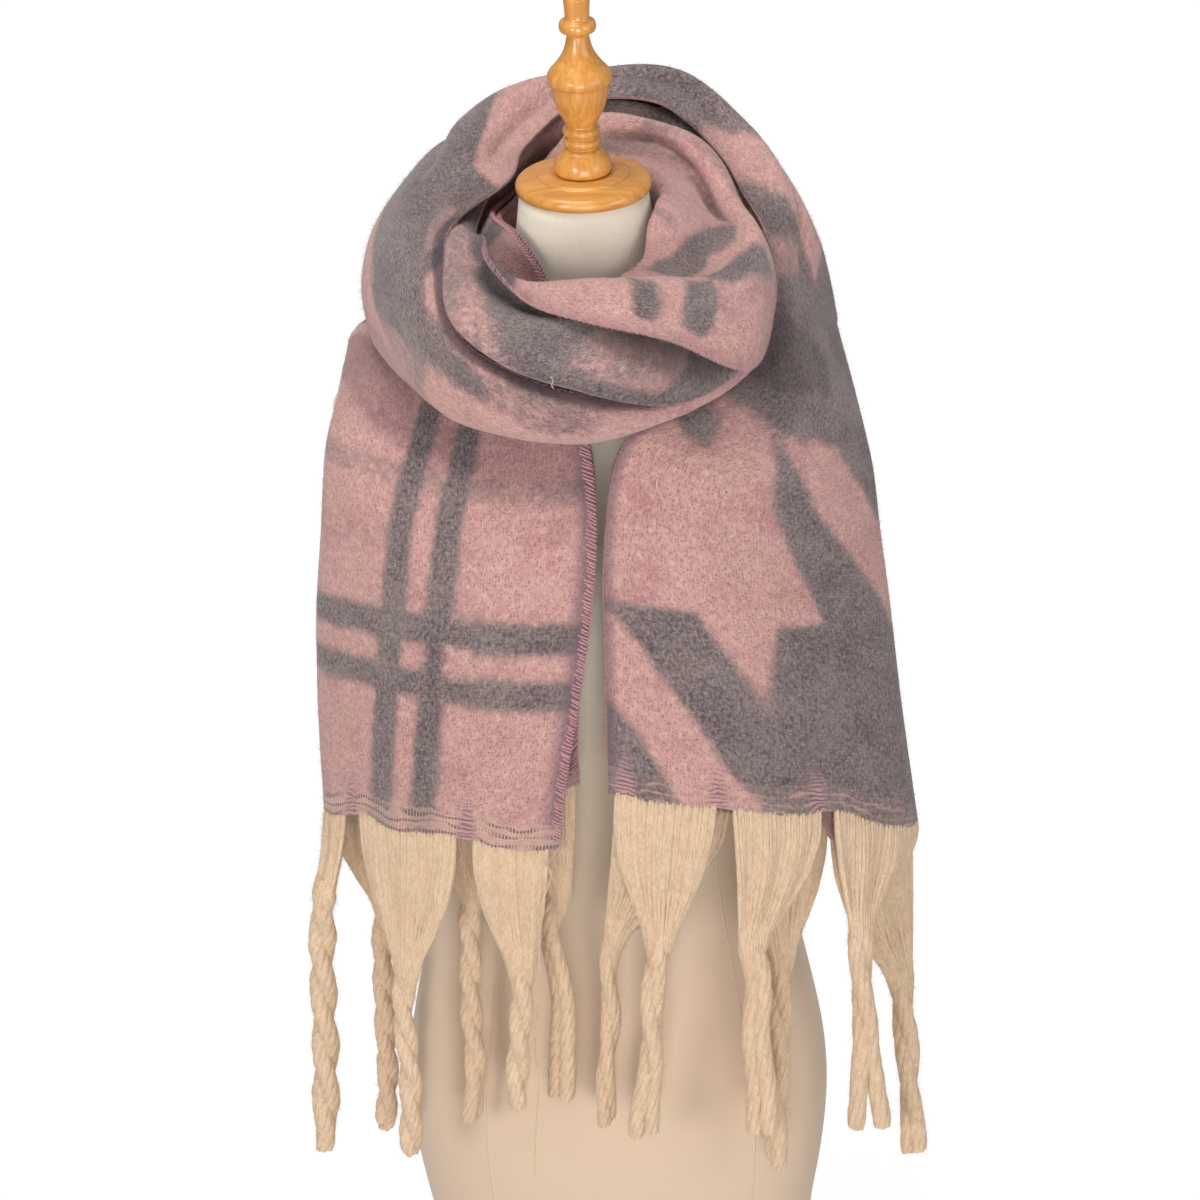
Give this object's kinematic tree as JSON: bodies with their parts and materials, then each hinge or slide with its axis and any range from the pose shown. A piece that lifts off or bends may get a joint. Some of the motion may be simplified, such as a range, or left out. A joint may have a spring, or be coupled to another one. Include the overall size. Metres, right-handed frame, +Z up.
{
  "type": "fringed blanket scarf on a dress form",
  "caption": "Long brushed blanket scarf with twisted tassels, folded lengthwise and wound round the neck of a limbless dress form.",
  "frame": {"origin": "centre of the foot's underside, where the form stands", "axes": "+Z up along the neck's axis; -Y is the front, where both scarf ends hang; +X is the viewer's right"},
  "size_m": [0.4521, 0.3348, 1.041],
  "materials": {
    "cloth": "brushed woven wool-like cloth, pink and grey",
    "yarn": "soft cream yarn, fanned at the root and twisted in two plies",
    "linen": "plain linen cover over padding",
    "wood": "honey-coloured varnish"
  },
  "bodies": {
    "root": {"left_panel": "cloth", "left_shoulder_wrap": "cloth", "inner_back_wrap": "cloth", "front_loop": "cloth", "outer_back_wrap": "cloth", "right_panel": "cloth", "left_fringe": "yarn", "right_fringe": "yarn", "form_body": "linen", "form_foot": "wood", "neck_cap": "wood", "finial": "wood"}
  },
  "joints": []
}
